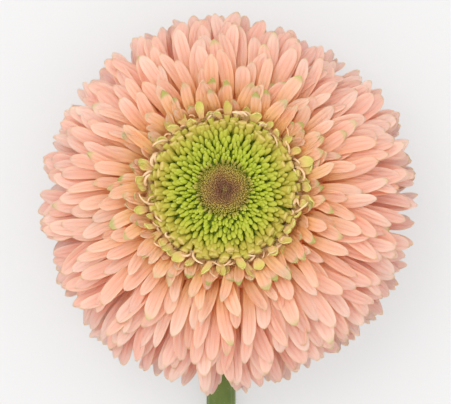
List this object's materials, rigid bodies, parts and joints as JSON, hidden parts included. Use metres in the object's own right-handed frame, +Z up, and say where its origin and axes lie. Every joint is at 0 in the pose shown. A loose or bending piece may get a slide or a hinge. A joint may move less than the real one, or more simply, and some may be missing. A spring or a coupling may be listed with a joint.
{
  "type": "cut gerbera flower",
  "caption": "Cut double gerbera laid on its side-bent stem, with a domed head of strap petals around a disc of closed florets.",
  "frame": {"origin": "on the surface the flower lies on, under the middle of its outline seen from above", "axes": "+Z up out of the flower's face, +Y from the stem's cut end towards the head, +X to the right seen from above"},
  "size_m": [0.0994, 0.3482, 0.0492],
  "materials": {
    "petal": "peach petal, soft satin",
    "rim_floret": "yellow-green floret, soft satin",
    "disc_floret": "green closed bud, waxy",
    "disc_centre": "brown closed buds, matt",
    "bract": "green bract, matt and downy",
    "stem": "green stem, matt and downy"
  },
  "bodies": {
    "root": {"ray_florets": "petal", "rim_florets": "rim_floret", "disc_florets": "disc_floret", "disc_centre": "disc_centre", "involucre": "bract", "stem": "stem"}
  },
  "joints": []
}
